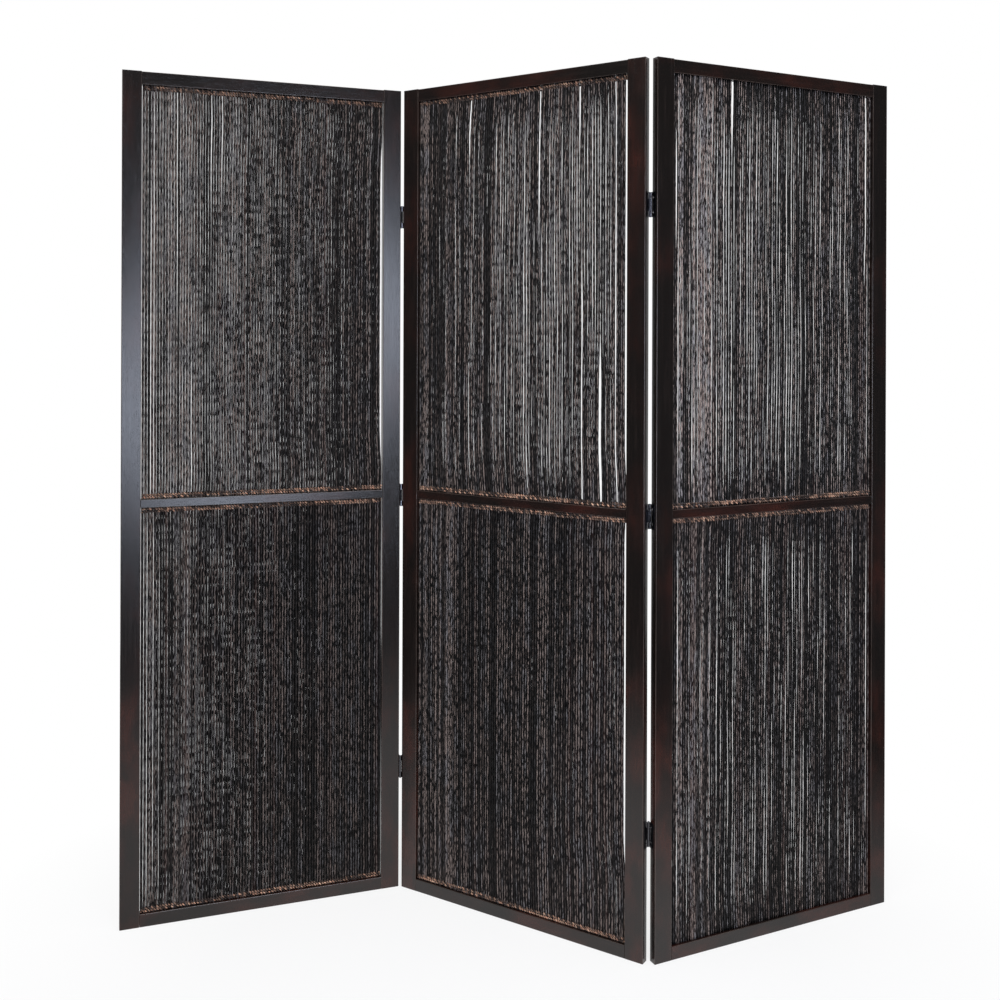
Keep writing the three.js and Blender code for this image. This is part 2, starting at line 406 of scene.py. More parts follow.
class HingeSettings(bpy.types.PropertyGroup):
    """The hinges and their screws."""

    head_radius: FloatProperty(
        name="Head Radius",
        description="Radius of a screw's countersunk head",
        default=0.0027,
        unit="LENGTH",
    )
    shank_radius: FloatProperty(
        name="Shank Radius",
        description="Radius of a screw's shank",
        default=0.0016,
        unit="LENGTH",
    )
    steel: FloatVectorProperty(
        name="Steel",
        description="Colour of the blackened steel",
        default=(0.10, 0.10, 0.11),
        subtype="COLOR",
    )
    worn_steel: FloatVectorProperty(
        name="Worn Steel",
        description="Colour where the black is worn off",
        default=(0.30, 0.29, 0.28),
        subtype="COLOR",
    )


# ---- Shader wiring ----


class Wire:
    """A node's output. Arithmetic with it adds Math nodes."""

    def __init__(self, finish, socket):
        self.finish = finish
        self.socket = socket

    def maths(self, operation, *values):
        return self.finish.node("ShaderNodeMath", {"operation": operation}, dict(enumerate(values)))

    def __add__(self, other):
        return self.maths("ADD", self, other)

    def __radd__(self, other):
        return self.maths("ADD", other, self)

    def __sub__(self, other):
        return self.maths("SUBTRACT", self, other)

    def __rsub__(self, other):
        return self.maths("SUBTRACT", other, self)

    def __mul__(self, other):
        return self.maths("MULTIPLY", self, other)

    def sine(self):
        return self.maths("SINE", self)

    def cosine(self):
        return self.maths("COSINE", self)

    def absolute(self):
        return self.maths("ABSOLUTE", self)


class Finish:
    """The nodes of one material, or of the world."""

    def __init__(self, tree):
        tree.nodes.clear()
        self.tree = tree

    def node(self, kind, settings=None, sockets=None, output=0):
        """Adds a node, sets it, fills its sockets and hands back one of its outputs."""
        made = self.tree.nodes.new(kind)
        for name, value in (settings or {}).items():
            setattr(made, name, value)
        for key, value in (sockets or {}).items():
            if isinstance(value, Wire):
                self.tree.links.new(value.socket, made.inputs[key])
            else:
                made.inputs[key].default_value = value
        return Wire(self, made.outputs[output]) if len(made.outputs) else None

    def blend(self, share, first, second):
        """Mixes two colours."""
        if not isinstance(first, Wire):
            first = (*first, 1)
        if not isinstance(second, Wire):
            second = (*second, 1)
        settings = {"data_type": "RGBA", "clamp_factor": True}
        return self.node("ShaderNodeMix", settings, {0: share, 6: first, 7: second}, output=2)

    def between(self, value, low, high, to_low=0.0, to_high=1.0):
        """Spreads value, from low to high, over to_low to to_high, and stops at both."""
        sockets = {0: value, 1: low, 2: high, 3: to_low, 4: to_high}
        return self.node("ShaderNodeMapRange", {"clamp": True}, sockets)

    def point(self):
        """The place on the object."""
        return self.node("ShaderNodeTexCoord", output="Object")

    def part(self, vector, axis):
        """One of the three parts of a vector."""
        return self.node("ShaderNodeSeparateXYZ", None, {0: vector}, axis)

    def stretched(self, vector, scale, place=(0, 0, 0)):
        """Scales and moves a vector."""
        sockets = {"Vector": vector, "Location": place, "Scale": scale}
        return self.node("ShaderNodeMapping", None, sockets)

    def attribute(self, name):
        """A number stored at the points of the piece."""
        return self.node("ShaderNodeAttribute", {"attribute_name": name}, output="Fac")

    def ray(self, kind):
        """1 for rays of one kind and 0 for all others."""
        return self.node("ShaderNodeLightPath", output=f"Is {kind} Ray")

    def noise(self, vector, scale, detail=2.0, roughness=0.5):
        sockets = {"Vector": vector, "Scale": scale, "Detail": detail, "Roughness": roughness}
        return self.node("ShaderNodeTexNoise", None, sockets)

    def bump(self, height, distance):
        return self.node("ShaderNodeBump", None, {"Height": height, "Distance": distance})

    def surface(self, sockets):
        """The one shader of a material."""
        shader = self.node("ShaderNodeBsdfPrincipled", None, sockets)
        self.node("ShaderNodeOutputMaterial", None, {"Surface": shader})


def new_material(name):
    material = bpy.data.materials.new(name)
    material.use_nodes = True
    return material, Finish(material.node_tree)


def dress(piece, material):
    piece.data.materials.clear()
    piece.data.materials.append(material)


# ---- Shared helpers ----


def settings_of(context):
    return context.scene.folding_screen


def deselect():
    for thing in bpy.context.selected_objects:
        thing.select_set(False)
    bpy.context.view_layer.objects.active = None


def panel_matrix(panel):
    """Turns a panel's own directions (along it, into its thickness, up) into the row frame."""
    return Matrix.Rotation(math.radians(PANEL_TURNS[panel]), 4, "Z")


def extent(panel, node):
    """Lowest and highest corner of a CAD node in its panel's own directions."""
    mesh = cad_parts[node].data
    points = np.empty(len(mesh.vertices) * 3, np.float32)
    mesh.vertices.foreach_get("co", points)
    turned = points.reshape(-1, 3) @ np.array(panel_matrix(panel).to_3x3())
    return turned.min(0).astype(float), turned.max(0).astype(float)


def panel_of(node):
    return node.split("_panel")[0] + "_panel"


def finish_piece(piece, name, body, nodes=()):
    """Names a finished piece, hangs it on its body and hides the CAD nodes it stands for."""
    piece.name = name
    piece.data.name = name
    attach(piece, body)
    if nodes:
        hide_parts(*nodes)


def strands_to_mesh(name, paths, radii, radius, sides_level):
    """Draws round strands along paths of points, each with its own radii, as one closed mesh."""
    curve = bpy.data.curves.new(name, "CURVE")
    curve.dimensions = "3D"
    curve.bevel_depth = radius
    curve.bevel_resolution = sides_level
    curve.use_fill_caps = True
    for path, swell in zip(paths, radii):
        spline = curve.splines.new("POLY")
        spline.points.add(len(path) - 1)
        flat = np.ones((len(path), 4), np.float32)
        flat[:, :3] = path
        spline.points.foreach_set("co", flat.ravel())
        spline.points.foreach_set("radius", np.asarray(swell, np.float32))
        spline.use_smooth = True
    strands = bpy.data.objects.new(name, curve)
    bpy.context.scene.collection.objects.link(strands)
    deselect()
    strands.select_set(True)
    bpy.context.view_layer.objects.active = strands
    bpy.ops.object.convert(target="MESH")
    return bpy.context.view_layer.objects.active


def add_values(piece, name, values):
    """Stores one number for every point of a piece."""
    attribute = piece.data.attributes.new(name, "FLOAT", "POINT")
    attribute.data.foreach_set("value", np.asarray(values, np.float32))


def soft_curves(rng, count, heights, wavelengths, strengths):
    """Smooth random curves along heights, one a row, from a few waves each."""
    curves = np.zeros((count, len(heights)))
    for wavelength, strength in zip(wavelengths, strengths):
        stretch = rng.uniform(0.8, 1.3, (count, 1))
        phase = rng.uniform(0, 2 * math.pi, (count, 1))
        curves += strength * np.sin(2 * math.pi * heights / (wavelength * stretch) + phase)
    return curves


# ---- Stage ----


def add_lamp(name, place, target, size, power, colour, tilt):
    """A soft rectangular lamp that faces target, tilted about its line of sight."""
    bpy.ops.object.light_add(type="AREA", location=place)
    lamp = bpy.context.object
    lamp.name = name
    aim = (Vector(target) - Vector(place)).to_track_quat("-Z", "Y").to_matrix()
    lamp.rotation_euler = (aim @ Matrix.Rotation(math.radians(tilt), 3, "Z")).to_euler()
    lamp.data.shape = "RECTANGLE"
    lamp.data.size, lamp.data.size_y = size
    lamp.data.energy = power
    lamp.data.color = colour


def floor_paper(stage):
    """Pale paper that keeps the screen's shadow and runs out into the white background.

    In the lacquer it mirrors less and less light the farther it lies from the screen.
    """
    paper, finish = new_material("floor_paper")
    length = {"operation": "LENGTH"}
    distance = finish.node("ShaderNodeVectorMath", length, {0: finish.point()}, "Value")
    away = finish.between(distance, 0.6, 1.25, 0.8, 1.0)
    mirrored = finish.between(distance, 0.5, 1.7, 1.0, 0.05)
    glossy_ray = finish.ray("Glossy")
    seen = (finish.ray("Camera") + finish.ray("Transmission")) * away + glossy_ray
    strength = 1.0 - glossy_ray * (1.0 - mirrored)
    matt = {"Base Color": (*stage.floor_colour, 1), "Roughness": 0.9}
    sheet = finish.node("ShaderNodeBsdfPrincipled", None, matt)
    white = finish.node("ShaderNodeEmission", None, {"Color": WHITE, "Strength": strength})
    shader = finish.node("ShaderNodeMixShader", None, {0: seen, 1: sheet, 2: white})
    finish.node("ShaderNodeOutputMaterial", None, {"Surface": shader})
    return paper


def light_world(world):
    """A dim grey room that the camera sees as plain white."""
    world.use_nodes = True
    finish = Finish(world.node_tree)
    direction = finish.node("ShaderNodeTexCoord", output="Generated")
    behind = finish.between(finish.part(direction, "Y"), 0.0, 0.3)
    seen = finish.ray("Camera") + finish.ray("Transmission") + finish.ray("Glossy") * behind
    dim = {"Color": (0.72, 0.76, 0.8, 1), "Strength": 0.13}
    room = finish.node("ShaderNodeBackground", None, dim)
    white = finish.node("ShaderNodeBackground", None, {"Color": WHITE, "Strength": 1.0})
    shader = finish.node("ShaderNodeMixShader", None, {0: seen, 1: room, 2: white})
    finish.node("ShaderNodeOutputWorld", None, {"Surface": shader})


class FOLDINGSCREEN_OT_camera(bpy.types.Operator):
    """Set up the camera in front of the screen"""

    bl_idname = "folding_screen.camera"
    bl_label = "Set Up Camera"

    def execute(self, context):
        stage = settings_of(context).stage
        rotation = (math.radians(90), stage.camera_roll, 0)
        bpy.ops.object.camera_add(location=stage.camera_place, rotation=rotation)
        camera = context.object
        camera.data.sensor_width = 36
        camera.data.lens = stage.camera_lens
        camera.data.shift_y = stage.camera_shift
        context.scene.camera = camera
        return {"FINISHED"}


class FOLDINGSCREEN_OT_stage(bpy.types.Operator):
    """Lay the floor and set the lamps and the world"""

    bl_idname = "folding_screen.stage"
    bl_label = "Build Stage"

    def execute(self, context):
        stage = settings_of(context).stage
        context.scene.view_settings.view_transform = "Standard"

        bpy.ops.mesh.primitive_plane_add(size=stage.floor_size, location=(0, -0.2, -0.0005))
        floor = context.object
        floor.name = "floor"
        dress(floor, floor_paper(stage))

        for name, lamp in LAMPS.items():
            add_lamp(name, *lamp)
        context.scene.world = bpy.data.worlds.new("studio")
        light_world(context.scene.world)
        return {"FINISHED"}


# ---- Wood ----


def wood_finish(node, wood, number):
    """Dark stain under satin lacquer, with the grain running along the piece and a painted
    highlight along the arrises.
    """
    material, finish = new_material(f"stain_{node}")
    panel = panel_of(node)
    upright = node.endswith("stile")
    point = finish.point()
    turn_back = {"Vector": point, "Angle": -math.radians(PANEL_TURNS[panel])}
    turned = finish.node("ShaderNodeVectorRotate", {"rotation_type": "Z_AXIS"}, turn_back)

    def drawn_out(scale):
        """The place on the piece, drawn out along the grain. Every piece has other wood."""
        stretch = (1, 1, scale) if upright else (scale, 1, 1)
        return finish.stretched(turned, stretch, (number * 3.17, number * 1.31, number * 2.23))

    grain = drawn_out(0.035)
    streaks = finish.noise(grain, 260, detail=3, roughness=0.55)
    pores = finish.noise(grain, 1300, detail=2, roughness=0.6)
    clouds = finish.noise(drawn_out(1), 4.5, detail=3, roughness=0.55)
    blots = finish.noise(drawn_out(0.4), 30, detail=3)

    low_down = finish.between(finish.part(point, "Z"), 0.15, 0.95, 0.7, 0)
    red = finish.between(clouds, 0.46, 0.68) * 0.8
    red = red + low_down * finish.between(clouds, 0.42, 0.58, 0.2, 1)
    red = red * finish.between(blots, 0.38, 0.66, 0.2, 1.2)
    colour = finish.blend(red, wood.stain, wood.red_stain)
    colour = finish.blend(finish.between(streaks, 0.52, 0.72) * 0.18, colour, wood.streak)
    pore_dark = finish.between(pores, 0.58, 0.66) * 0.7
    colour = finish.blend(pore_dark, colour, wood.pore)

    # The arrises are where the place is close to two faces of the piece at once. A painted
    # highlight lies along them in place of the gleam of the rounded edges, broken up by the grain
    # streaks.
    low, high = extent(panel, node)
    depths = []
    for axis in ("X", "Y") if upright else ("Y", "Z"):
        index = "XYZ".index(axis)
        value = finish.part(turned, axis)
        depths.append(value.maths("MINIMUM", value - low[index], high[index] - value))
    edge = finish.between(depths[0].maths("MAXIMUM", *depths), 0.0002, 0.0015, 1, 0)
    arris_highlight_share = edge * finish.between(streaks, 0.35, 0.6, 0.35, 1) * wood.arris_highlight_share
    colour = finish.blend(arris_highlight_share, colour, wood.arris_highlight_colour)

    roughness = wood.gloss_spread + (streaks - 0.5) * 0.10 + (clouds - 0.5) * 0.08
    relief = streaks * 0.4 - pore_dark * 0.5
    finish.surface(
        {
            "Base Color": colour,
            "Roughness": roughness,
            "Normal": finish.bump(relief, 0.00007),
            "IOR": 1.5,
        }
    )
    return material


class FOLDINGSCREEN_OT_stain_frames(bpy.types.Operator):
    """Stain and lacquer the stiles and rails"""

    bl_idname = "folding_screen.stain_frames"
    bl_label = "Stain Frames"

    def execute(self, context):
        wood = settings_of(context).wood
        timbers = sorted(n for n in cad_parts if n.endswith(("_stile", "_rail")))
        for number, node in enumerate(timbers, start=1):
            dress(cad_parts[node], wood_finish(node, wood, number))
        return {"FINISHED"}


# ---- Cords ----


def cord_finish(name, cords, painted_crest_light):
    """A dark twisted cord: two plies that wind round it, with lighter worn spots, a painted
    highlight on their crests and on the front and back, and painted shade in the grooves and at the
    sides.
    """
    material, finish = new_material(name)
    wrap = finish.node("ShaderNodeUVMap", {"uv_map": "wrap"})
    round_share = finish.part(wrap, "X")
    lays = finish.part(wrap, "Y")
    tone = finish.attribute("tone")
    long_point = finish.stretched(finish.point(), (1, 1, 0.17))

    drift = finish.noise(long_point, 60)
    wind = (round_share - lays + drift * 0.25) * (4 * math.pi)
    ply = wind.cosine() * 0.5 + 0.5
    fibre = finish.noise(long_point, 1100)
    worn = finish.noise(long_point, 480, roughness=0.6)
    cloud = finish.noise(long_point, 9)

    # Painted light: a painted highlight where a ply stands out, on the front and the back of the
    # cord, in worn spots; painted shade in the grooves and at the sides, where the cords meet.
    crest = finish.between(ply, 0.30, 0.92)
    painted_front_back_light = finish.between((round_share * (2 * math.pi)).sine().absolute(), 0.42, 0.94)
    painted_light_and_tone = (crest * 0.35 + 0.65) * painted_front_back_light * finish.between(worn, 0.44, 0.64)
    painted_light_and_tone = painted_light_and_tone * finish.between(tone, 0.1, 1.0, 0.12, 1.4)
    painted_light_and_tone = painted_light_and_tone * finish.between(cloud, 0.32, 0.68, 0.5, 1.3) * 2.7

    cool = finish.between(finish.noise(long_point, 75, detail=1), 0.48, 0.60) * 0.6
    # This field's own strength of painted crest light, set by how the light falls on its panel.
    warm_fibres = [share * painted_crest_light for share in cords.cord_light]
    cool_fibres = [share * painted_crest_light for share in cords.cord_cool]
    fibres = finish.blend(cool, warm_fibres, cool_fibres)
    colour = finish.blend(painted_light_and_tone, cords.cord_dark, fibres)
    red = finish.between(tone, 0.90, 0.96) * 0.25
    colour = finish.blend(red, colour, cords.cord_red)
    finish.surface(
        {
            "Base Color": colour,
            "Roughness": finish.between(fibre, 0.2, 0.8, 0.42, 0.66),
            "Normal": finish.bump(ply * 0.6 + fibre * 0.4, 0.0006),
            "Specular IOR Level": 0.12,
        }
    )
    return material


def straight_cords(cords):
    """Models one straight cord and sets its copies side by side, all one mesh."""
    deselect()
    bpy.ops.mesh.primitive_cylinder_add(
        vertices=CORD_SIDES,
        radius=1,
        depth=1,
        location=(0, 0, 0.5),
        end_fill_type="NGON",
        calc_uvs=False,
    )
    piece = bpy.context.object
    bpy.ops.object.transform_apply(location=True)
    mesh = piece.data
    bpy.ops.object.mode_set(mode="EDIT")
    bpy.ops.mesh.select_mode(type="EDGE")
    bpy.ops.mesh.select_all(action="DESELECT")
    bpy.ops.object.mode_set(mode="OBJECT")
    for edge in mesh.edges:
        ends = [mesh.vertices[corner].co.z for corner in edge.vertices]
        edge.select = abs(ends[0] - ends[1]) > 0.5
    bpy.ops.object.mode_set(mode="EDIT")
    bpy.ops.mesh.subdivide(number_cuts=cords.rings - 2)
    bpy.ops.object.mode_set(mode="OBJECT")
    row = piece.modifiers.new("row", "ARRAY")
    row.count = cords.cords
    row.use_relative_offset = False
    row.use_constant_offset = True
    row.constant_offset_displace = (CORD_SPACING, 0, 0)
    bpy.ops.object.modifier_apply(modifier=row.name)
    bpy.ops.object.shade_smooth()
    return piece


def corner_places(mesh, side):
    """For every face corner, its point and its place round the cord, counted on past the seam."""
    corners = np.empty(len(mesh.loops), np.int32)
    mesh.loops.foreach_get("vertex_index", corners)
    starts = np.empty(len(mesh.polygons), np.int32)
    mesh.polygons.foreach_get("loop_start", starts)
    place = side[corners].astype(float)
    spread = np.maximum.reduceat(place, starts) - np.minimum.reduceat(place, starts)
    counts = np.diff(np.append(starts, len(corners)))
    seam = np.repeat(spread > CORD_SIDES / 2, counts)
    place[seam & (place < CORD_SIDES / 2)] += CORD_SIDES
    return corners, place


def add_map(mesh, name, across, along):
    """Stores a UV map, with a number across and a number along for every face corner."""
    layer = mesh.uv_layers.new(name=name)
    layer.uv.foreach_set("vector", np.stack([across, along], 1).astype(np.float32).ravel())


def gap_openness(rng, field, gaps, heights):
    """How open each gap is at each height, from 0, shut, to about 1."""
    lasting = rng.normal(0, field["spread"], (gaps, 1))
    lasting += field["lean"] * np.linspace(-1, 1, gaps)[:, None]
    wander = soft_curves(rng, gaps, heights, (1.5, 0.7, 0.38), (0.4, 0.2, 0.1))
    level = lasting + wander
    shut = np.quantile(level, 1 - field["open"])
    return rng.uniform(0.6, 1.3, (gaps, 1)) / (1 + np.exp(-3.0 * (level - shut))) + 0.03


def cord_thicknesses(rng, field, cords, width, to_end):
    """Each cord's thickness at each height: all a little unlike, and thicker near their ends."""
    thickness = rng.normal(1, 0.06, (cords.cords, 1)).clip(0.85, 1.15)
    thickness = thickness * width * field["fill"] / thickness.sum()
    swelling = np.exp(-((to_end / cords.end_length) ** 2))
    return thickness * (1 + cords.end_swell * (1 - field["fill"]) / FULL_SWELL_ROOM * swelling)


def gap_widths(rng, field, thickness, heights, low, width, start):
    """Each gap's width at each height: the wide ones as listed, the others by chance."""
    count = len(thickness)
    openness = gap_openness(rng, field, count + 1, heights)
    openness[:EDGE_GAPS] *= EDGE_OPENNESS
    openness[-EDGE_GAPS:] *= EDGE_OPENNESS
    wide_gaps = np.zeros_like(openness)
    for across, bottom, top, gap in field["wide"]:
        number = int(round((start + across - low[0]) / width * count))
        number = min(max(number, 0), count)
        rise = ((heights + low[2] - bottom) / WIDE_GAP_TAPER).clip(0, 1)
        inside = rise * ((top - heights - low[2]) / WIDE_GAP_TAPER).clip(0, 1)
        ease = inside * inside * (3 - 2 * inside)
        wide_gaps[number] = np.maximum(wide_gaps[number], gap * ease)
        # The cords beside a wide gap are pushed together.
        near = np.exp(-np.abs(np.arange(count + 1) - number) / 3)[:, None]
        openness *= 1 - 0.7 * near * ease
    room = width - thickness.sum(0)
    slack = (room - wide_gaps.sum(0)).clip(LEAST_SLACK, None)
    gaps = wide_gaps + slack * openness / openness.sum(0)
    return gaps * (room / gaps.sum(0))


def string_field(node, cords, field):
    """Strings one field: twisted cords that lie close and part here and there."""
    panel = panel_of(node)
    low, high = extent(panel, node)
    left_stile = extent(panel, panel + "_left_stile")
    right_stile = extent(panel, panel + "_right_stile")
    low[0] = left_stile[1][0] + cords.side_gap
    high[0] = right_stile[0][0] - cords.side_gap
    width, length = high[0] - low[0], high[2] - low[2]
    count, rings = cords.cords, cords.rings
    heights = np.linspace(0, length, rings)
    to_end = np.minimum(heights, length - heights)

    rng = np.random.default_rng(field["seed"])
    thickness = cord_thicknesses(rng, field, cords, width, to_end)
    gaps = gap_widths(rng, field, thickness, heights, low, width, left_stile[0][0])
    across = low[0] + np.cumsum(gaps[:-1], axis=0) + np.cumsum(thickness, axis=0) - thickness / 2
    sway = soft_curves(rng, count, heights, (0.5, 0.21), (0.0003, 0.0002))
    middle = (low[1] + high[1]) / 2 + sway
    first_turn = rng.uniform(0, 1, (count, 1))
    twist = first_turn + np.outer(rng.normal(1, 0.08, count), heights / cords.lay)

    # Every point of the straight cords goes to its ring's place, round its cord's middle.
    piece = straight_cords(cords)
    mesh = piece.data
    points = np.empty(len(mesh.vertices) * 3, np.float32)
    mesh.vertices.foreach_get("co", points)
    points = points.reshape(count, -1, 3).astype(float)
    cord = np.arange(count)[:, None]
    angle = np.arctan2(points[..., 1], points[..., 0] - CORD_SPACING * cord)
    ring = np.rint(points[..., 2] * (rings - 1)).astype(int)
    turn = twist[cord, ring]
    ply = np.cos(2 * (angle - 2 * math.pi * turn))
    fluff = field.get("fluff", cords.fluff)
    radius = thickness[cord, ring] / 2 * (fluff + cords.ply_depth * ply)
    placed = np.stack(
        [
            across[cord, ring] + radius * np.cos(angle),
            middle[cord, ring] + radius * np.sin(angle),
            (low[2] + heights[ring]).clip(low[2], high[2]),
        ],
        -1,
    )
    mesh.vertices.foreach_set("co", placed.astype(np.float32).ravel())

    side = np.rint(angle / (2 * math.pi) * CORD_SIDES).astype(int) % CORD_SIDES
    corners, place = corner_places(mesh, side.ravel())
    number = corners // points.shape[1]
    add_map(mesh, "wrap", place / CORD_SIDES, turn.ravel()[corners])
    share = ring.ravel()[corners] / (rings - 1)
    add_map(mesh, "OFBake", (number + 0.1 + 0.8 * place / CORD_SIDES) / count, share)
    add_values(piece, "tone", np.repeat(rng.uniform(0, 1, count), points.shape[1]))
    mesh.transform(panel_matrix(panel))
    mesh.update()
    dress(piece, cord_finish("cord_" + node, cords, field["crest"]))
    finish_piece(piece, node + "_strung", panel, [node])


class FOLDINGSCREEN_OT_string_cords(bpy.types.Operator):
    """String every field with cords"""

    bl_idname = "folding_screen.string_cords"
    bl_label = "String Cords"

    def execute(self, context):
        for node, field in FIELDS.items():
            string_field(node, settings_of(context).cords, field)
        return {"FINISHED"}


# ---- Twining ----


def twine_finish(cords):
    """Red-brown fibre, twisted, with a painted highlight where a stitch stands out and painted
    shade where it dips in.
    """
    material, finish = new_material("twine")
    wrap = finish.node("ShaderNodeUVMap", {"uv_map": "UVMap"})
    wind = (finish.part(wrap, "X") * 420 + finish.part(wrap, "Y") * 3) * (2 * math.pi)
    ply = wind.sine() * 0.5 + 0.5
    point = finish.point()
    fibre = finish.noise(point, 2600)
    # Painted highlight where a strand stands out to the front or back, painted shade where it dips
    # in between the cords.
    painted_light_and_tone = finish.between(finish.attribute("stand_out"), 0.55, 1.0)
    painted_light_and_tone = painted_light_and_tone * finish.between(ply, 0.0, 0.9, 0.4, 1.0) * finish.attribute("tone")
    colour = finish.blend(painted_light_and_tone, cords.twine_dark, cords.twine_light)
    rust = finish.between(finish.noise(point, 130, detail=1), 0.42, 0.58) * 0.7
    colour = finish.blend(rust * painted_light_and_tone, colour, cords.twine_rust)
    finish.surface(
        {
            "Base Color": colour,
            "Roughness": finish.between(fibre, 0.2, 0.8, 0.4, 0.65),
            "Normal": finish.bump(ply * 0.7 + fibre * 0.4, 0.0004),
        }
    )
    return material


def twine_band(node, cords, material, seed):
    """Twines one band: in each row two strands change places between every two cords."""
    panel = panel_of(node)
    low, high = extent(panel, node)
    rng = np.random.default_rng(seed)
    count, radius, rise = cords.cords, cords.twine_radius, cords.twine_rise
    pitch = (high[0] - low[0] - 2 * TWINE_INSET) / count
    run = np.arange(count * cords.twine_steps + 1) / cords.twine_steps
    x = low[0] + TWINE_INSET + pitch * run
    middle = (low[1] + high[1]) / 2
    reach = (high[1] - low[1]) / 2 - radius
    beside_top = node.endswith("_top_twining")
    first = high[2] - rise - radius if beside_top else low[2] + rise + radius
    second = first - cords.twine_row if beside_top else first + cords.twine_row
    # Painted shade on the bands under the top rails.
    band_painted_shade = TOP_BAND_PAINTED_SHADE if node.endswith("upper_cords_top_twining") else 1.0

    paths, swell, tones = [], [], []
    for row_place, row_tone in ((first, 1.0), (second, SECOND_ROW_TONE)):
        wander = soft_curves(rng, 1, x, (0.23, 0.09, 0.045), (0.0004, 0.0003, 0.0002))[0]
        for strand in range(2):
            # No two stitches are alike in their place, their rise and their thickness.
            stitches = rng.normal(0, 1, (3, count + 2))
            place = run + 0.5 * (1 + strand)
            shift, lift, girth = (np.interp(place, np.arange(count + 2), row) for row in stitches)
            turn = math.pi * (run + strand)
            path = np.empty((len(run), 3))
            path[:, 0] = x + shift * pitch * 0.08
            path[:, 1] = middle + np.cos(turn) * reach
            path[:, 2] = row_place + wander + np.sin(turn) * rise * (1 + 0.25 * lift.clip(-2, 1))
            path[:, 2] = path[:, 2].clip(low[2] + radius, high[2] - radius)
            paths.append(path)
            swell.append(1 + 0.10 * girth.clip(-2, 2))
            patch = soft_curves(rng, 1, np.arange(count + 1) * pitch, (0.3, 0.12), (0.25, 0.2))[0]
            tone = (rng.beta(0.6, 1.3, count + 1) + patch) * row_tone
            tones.append(tone.clip(0.02, 1.1) * band_painted_shade)
    piece = strands_to_mesh(node + "_twined", paths, swell, radius, 2)

    points = np.empty(len(piece.data.vertices) * 3)
    piece.data.vertices.foreach_get("co", points)
    points = points.reshape(len(paths), -1, 3)
    stitch = np.rint((points[:, :, 0] - x[0]) / pitch).astype(int).clip(0, count)
    # stand_out carries the painted highlight: how far each point lies out to the front or back.
    add_values(piece, "stand_out", (np.abs(points[:, :, 1] - middle) / reach).ravel())
    add_values(piece, "tone", np.take_along_axis(np.array(tones), stitch, axis=1).ravel())
    piece.data.transform(panel_matrix(panel))
    dress(piece, material)
    finish_piece(piece, node + "_twined", panel, [node])


class FOLDINGSCREEN_OT_twine_bands(bpy.types.Operator):
    """Twine the bands beside the rails"""

    bl_idname = "folding_screen.twine_bands"
    bl_label = "Twine Bands"

    def execute(self, context):
        cords = settings_of(context).cords
        material = twine_finish(cords)
        bands = sorted(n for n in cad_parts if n.endswith("_twining"))
        for number, node in enumerate(bands):
            twine_band(node, cords, material, 40 + number)
        return {"FINISHED"}


# ---- Hinges ----


def steel_finish(name, hinges):
    """Blackened steel, a little worn."""
    material, finish = new_material(name)
    point = finish.point()
    speckle = finish.noise(point, 700, detail=3)
    smudge = finish.noise(point, 60)
    worn = finish.between(speckle, 0.62, 0.75) * 0.4
    finish.surface(
        {
            "Base Color": finish.blend(worn, hinges.steel, hinges.worn_steel),
            "Metallic": 1.0,
            "Roughness": finish.between(smudge, 0.3, 0.7, 0.12, 0.22),
            "Normal": finish.bump(speckle, 0.00005),
        }
    )
    return material


def model_screw(hinges):
    """Models one countersunk wood screw with a cross in its head, its head up at the origin."""
    deselect()
    bpy.ops.mesh.primitive_cone_add(
        vertices=24,
        radius1=hinges.shank_radius,
        radius2=hinges.head_radius,
        depth=SCREW_HEAD_DEPTH,
        location=(0, 0, -SCREW_HEAD_DEPTH / 2),
    )
    screw = bpy.context.object
    bpy.ops.object.transform_apply(location=True)
    for face in screw.data.polygons:
        face.select = face.normal.z < -0.9
    bpy.ops.object.mode_set(mode="EDIT")
    bpy.ops.mesh.select_mode(type="FACE")
    for length in (SCREW_SHANK_LENGTH, SCREW_TIP_LENGTH):
        bpy.ops.mesh.extrude_region_move(TRANSFORM_OT_translate={"value": (0, 0, -length)})
    bpy.ops.transform.resize(value=(0.15, 0.15, 1))
    bpy.ops.object.mode_set(mode="OBJECT")
    for turn in (0, math.pi / 2):
        deselect()
        bpy.ops.mesh.primitive_cube_add(size=1, location=(0, 0, 0), rotation=(0, 0, turn))
        cutter = bpy.context.object
        cutter.scale = (hinges.head_radius * 1.25, *SCREW_SLOT)
        deselect()
        screw.select_set(True)
        bpy.context.view_layer.objects.active = screw
        cross = screw.modifiers.new("cross", "BOOLEAN")
        cross.operation = "DIFFERENCE"
        cross.object = cutter
        bpy.ops.object.modifier_apply(modifier=cross.name)
        bpy.data.objects.remove(cutter)
    return screw


def screw_places(leaf):
    """The panel a hinge leaf is screwed to, which way its screws face, and their places."""
    fold, _, rest = leaf.partition("_fold_")
    panel = rest.rsplit("_hinge_", 1)[1].removesuffix("_leaf") + "_panel"
    on_right = (fold == "left") == (panel == "left_panel")
    stile = extent(panel, panel + ("_right_stile" if on_right else "_left_stile"))
    low, high = extent(panel, leaf)
    across = stile[1][0] + SCREW_OUT if on_right else stile[0][0] - SCREW_OUT
    deep = stile[0][1] + SCREW_DEEP if fold == "left" else stile[1][1] - SCREW_DEEP
    middle = (low[2] + high[2]) / 2
    heights = {"lower": middle - SCREW_UP, "upper": middle + SCREW_UP}
    places = [(name, Vector((across, deep, height))) for name, height in heights.items()]
    return panel, 1 if on_right else -1, places


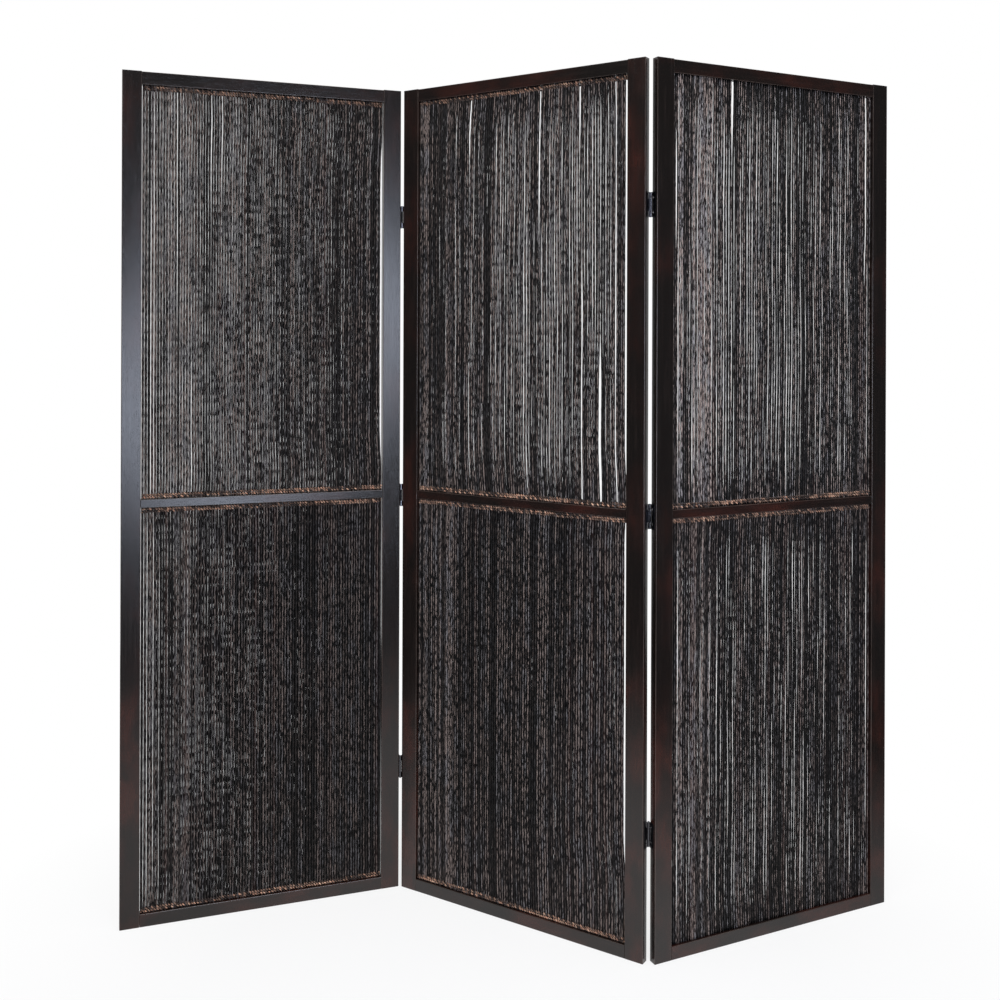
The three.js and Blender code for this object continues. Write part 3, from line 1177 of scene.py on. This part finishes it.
class FOLDINGSCREEN_OT_drive_screws(bpy.types.Operator):
    """Drive two countersunk screws through every hinge leaf"""

    bl_idname = "folding_screen.drive_screws"
    bl_label = "Drive Screws"

    def execute(self, context):
        hinges = settings_of(context).hinges
        screw = model_screw(hinges)
        material = steel_finish("screw_steel", hinges)
        for leaf in sorted(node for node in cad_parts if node.endswith("_leaf")):
            panel, out, places = screw_places(leaf)
            for name, place in places:
                copy = bpy.data.objects.new(f"{leaf}_{name}_screw", screw.data.copy())
                context.scene.collection.objects.link(copy)
                facing = Matrix.Rotation(math.radians(90 * out), 4, "Y")
                copy.data.transform(panel_matrix(panel) @ Matrix.Translation(place) @ facing)
                dress(copy, material)
                finish_piece(copy, copy.name, panel)
        bpy.data.objects.remove(screw)
        return {"FINISHED"}


class FOLDINGSCREEN_OT_blacken_hinges(bpy.types.Operator):
    """Blacken the hinge leaves and pins"""

    bl_idname = "folding_screen.blacken_hinges"
    bl_label = "Blacken Hinges"

    def execute(self, context):
        material = steel_finish("blackened_steel", settings_of(context).hinges)
        for node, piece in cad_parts.items():
            if "_hinge_" in node:
                dress(piece, material)
        return {"FINISHED"}


# ---- The add-on ----


class FoldingScreenSettings(bpy.types.PropertyGroup):
    """All settings of the screen."""

    stage: PointerProperty(type=StageSettings)
    cords: PointerProperty(type=CordSettings)
    wood: PointerProperty(type=WoodSettings)
    hinges: PointerProperty(type=HingeSettings)


OPERATORS = (
    FOLDINGSCREEN_OT_camera,
    FOLDINGSCREEN_OT_stage,
    FOLDINGSCREEN_OT_stain_frames,
    FOLDINGSCREEN_OT_string_cords,
    FOLDINGSCREEN_OT_twine_bands,
    FOLDINGSCREEN_OT_blacken_hinges,
    FOLDINGSCREEN_OT_drive_screws,
)


class FOLDINGSCREEN_PT_panel(bpy.types.Panel):
    """The steps that build the folding screen"""

    bl_label = "Folding Screen"
    bl_idname = "FOLDINGSCREEN_PT_panel"
    bl_space_type = "VIEW_3D"
    bl_region_type = "UI"
    bl_category = "Folding Screen"

    def draw(self, context):
        for operator in OPERATORS:
            self.layout.operator(operator.bl_idname)


CLASSES = (
    StageSettings,
    CordSettings,
    WoodSettings,
    HingeSettings,
    FoldingScreenSettings,
    *OPERATORS,
    FOLDINGSCREEN_PT_panel,
)


def register():
    for made in CLASSES:
        bpy.utils.register_class(made)
    bpy.types.Scene.folding_screen = PointerProperty(type=FoldingScreenSettings)


def unregister():
    del bpy.types.Scene.folding_screen
    for made in reversed(CLASSES):
        bpy.utils.unregister_class(made)


def main():
    register()
    deselect()
    bpy.ops.folding_screen.camera()
    bpy.ops.folding_screen.stage()
    bpy.ops.folding_screen.stain_frames()
    bpy.ops.folding_screen.string_cords()
    bpy.ops.folding_screen.twine_bands()
    bpy.ops.folding_screen.blacken_hinges()
    bpy.ops.folding_screen.drive_screws()


if __name__ == "__main__":
    main()
